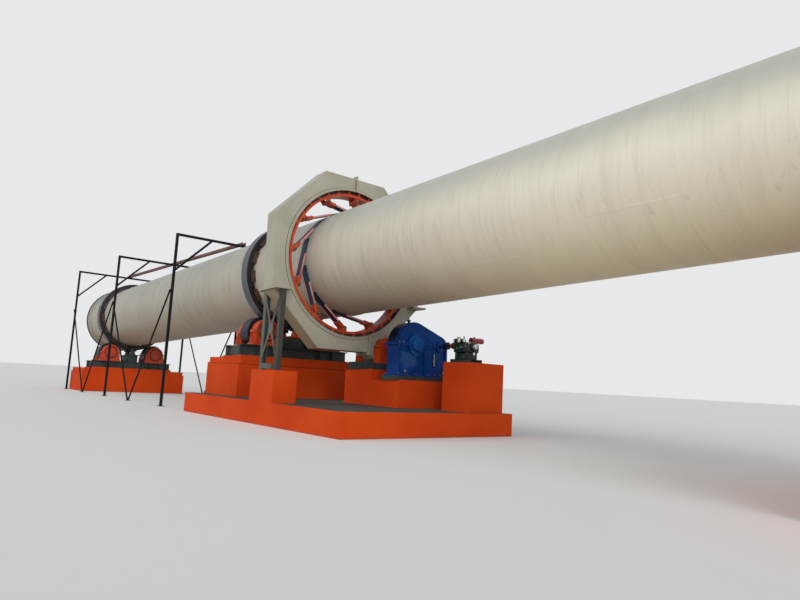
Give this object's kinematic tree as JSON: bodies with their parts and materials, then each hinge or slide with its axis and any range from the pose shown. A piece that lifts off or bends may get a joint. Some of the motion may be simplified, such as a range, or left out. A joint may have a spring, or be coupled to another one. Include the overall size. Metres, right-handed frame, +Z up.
{
  "type": "rotary kiln (1:2 scale model)",
  "caption": "Inclined rotary kiln: plain steel drum with riding tyres on roller stations, girth gear in an octagonal cover, pinion, gearbox and drive on concrete piers.",
  "frame": {"origin": "on the ground under the kiln axis, at the middle riding tyre", "axes": "+X along the kiln towards its upper, feed end; +Y across it towards the drive; +Z up"},
  "size_m": [23.1311, 3.6101, 4.3099],
  "materials": {
    "shell": "satin",
    "tyre": "satin",
    "pads": "matte",
    "gear": "satin",
    "spring": "satin",
    "roller": "satin",
    "housing": "satin",
    "frame": "matte",
    "foundation": "matte",
    "cover": "satin",
    "leg": "satin",
    "pinion": "satin",
    "coupling": "satin",
    "gearbox": "gloss",
    "motor": "satin",
    "engine": "satin",
    "tank": "gloss",
    "portal": "satin",
    "ridge": "matte"
  },
  "bodies": {
    "root": {"roller_housings_lower": "housing", "roller_housings_middle": "housing", "roller_housings_upper": "housing", "base_frame_lower": "frame", "base_frame_middle": "frame", "base_frame_upper": "frame", "pier_lower": "foundation", "pier_upper": "foundation", "main_foundation": "foundation", "cover_upper_front": "cover", "cover_upper_rear": "cover", "cover_lower": "cover", "cover_pinion": "cover", "cover_leg_front": "leg", "pinion_housings": "housing", "pinion_frame": "frame", "gearbox": "gearbox", "gearbox_frame": "frame", "motor": "motor", "engine": "engine", "engine_tank": "tank", "engine_coupling": "coupling", "portal_frame_lower": "portal", "portal_frame_middle": "portal", "portal_frame_upper": "portal", "portal_ridge": "ridge", "portal_braces_front": "portal", "portal_braces_rear": "portal"},
    "drum": {"kiln_shell": "shell", "tyre_lower": "tyre", "tyre_middle": "tyre", "tyre_upper": "tyre", "tyre_pads_lower": "pads", "tyre_pads_middle": "pads", "tyre_pads_upper": "pads", "girth_gear": "gear", "spring_plates": "spring"},
    "roller_lower_front": {"roller_lower_front": "roller"},
    "roller_lower_rear": {"roller_lower_rear": "roller"},
    "roller_middle_front": {"roller_middle_front": "roller"},
    "roller_middle_rear": {"roller_middle_rear": "roller"},
    "roller_upper_front": {"roller_upper_front": "roller"},
    "roller_upper_rear": {"roller_upper_rear": "roller"},
    "pinion": {"pinion": "pinion", "pinion_coupling": "coupling"}
  },
  "joints": [
    {"name": "drum_spin", "type": "hinge", "parent": "root", "child": "drum", "pos_m": [0, 0, 2.673], "axis": [0.9993, 0, 0.0381], "continuous": true},
    {"name": "roller_lower_front_spin", "type": "hinge", "parent": "root", "child": "roller_lower_front", "pos_m": [-9.69932, -0.66015, 1.15869], "axis": [0.9993, 0, 0.0381], "continuous": true},
    {"name": "roller_lower_rear_spin", "type": "hinge", "parent": "root", "child": "roller_lower_rear", "pos_m": [-9.69932, 0.66015, 1.15869], "axis": [0.9993, 0, 0.0381], "continuous": true},
    {"name": "roller_middle_front_spin", "type": "hinge", "parent": "root", "child": "roller_middle_front", "pos_m": [0.04359, -0.66015, 1.53042], "axis": [0.9993, 0, 0.0381], "continuous": true},
    {"name": "roller_middle_rear_spin", "type": "hinge", "parent": "root", "child": "roller_middle_rear", "pos_m": [0.04359, 0.66015, 1.53042], "axis": [0.9993, 0, 0.0381], "continuous": true},
    {"name": "roller_upper_front_spin", "type": "hinge", "parent": "root", "child": "roller_upper_front", "pos_m": [10.3361, -0.66015, 1.92312], "axis": [0.9993, 0, 0.0381], "continuous": true},
    {"name": "roller_upper_rear_spin", "type": "hinge", "parent": "root", "child": "roller_upper_rear", "pos_m": [10.3361, 0.66015, 1.92312], "axis": [0.9993, 0, 0.0381], "continuous": true},
    {"name": "pinion_spin", "type": "hinge", "parent": "root", "child": "pinion", "pos_m": [1.95724, 0.66785, 1.34016], "axis": [0.9993, 0, 0.0381], "continuous": true}
  ],
  "couplings": [
    {"joint": "roller_lower_front_spin", "follows": "drum_spin", "ratio": -3.5517},
    {"joint": "roller_lower_rear_spin", "follows": "drum_spin", "ratio": -3.5517},
    {"joint": "roller_middle_front_spin", "follows": "drum_spin", "ratio": -3.5517},
    {"joint": "roller_middle_rear_spin", "follows": "drum_spin", "ratio": -3.5517},
    {"joint": "roller_upper_front_spin", "follows": "drum_spin", "ratio": -3.5517},
    {"joint": "roller_upper_rear_spin", "follows": "drum_spin", "ratio": -3.5517},
    {"joint": "pinion_spin", "follows": "drum_spin", "ratio": -6.8636}
  ]
}
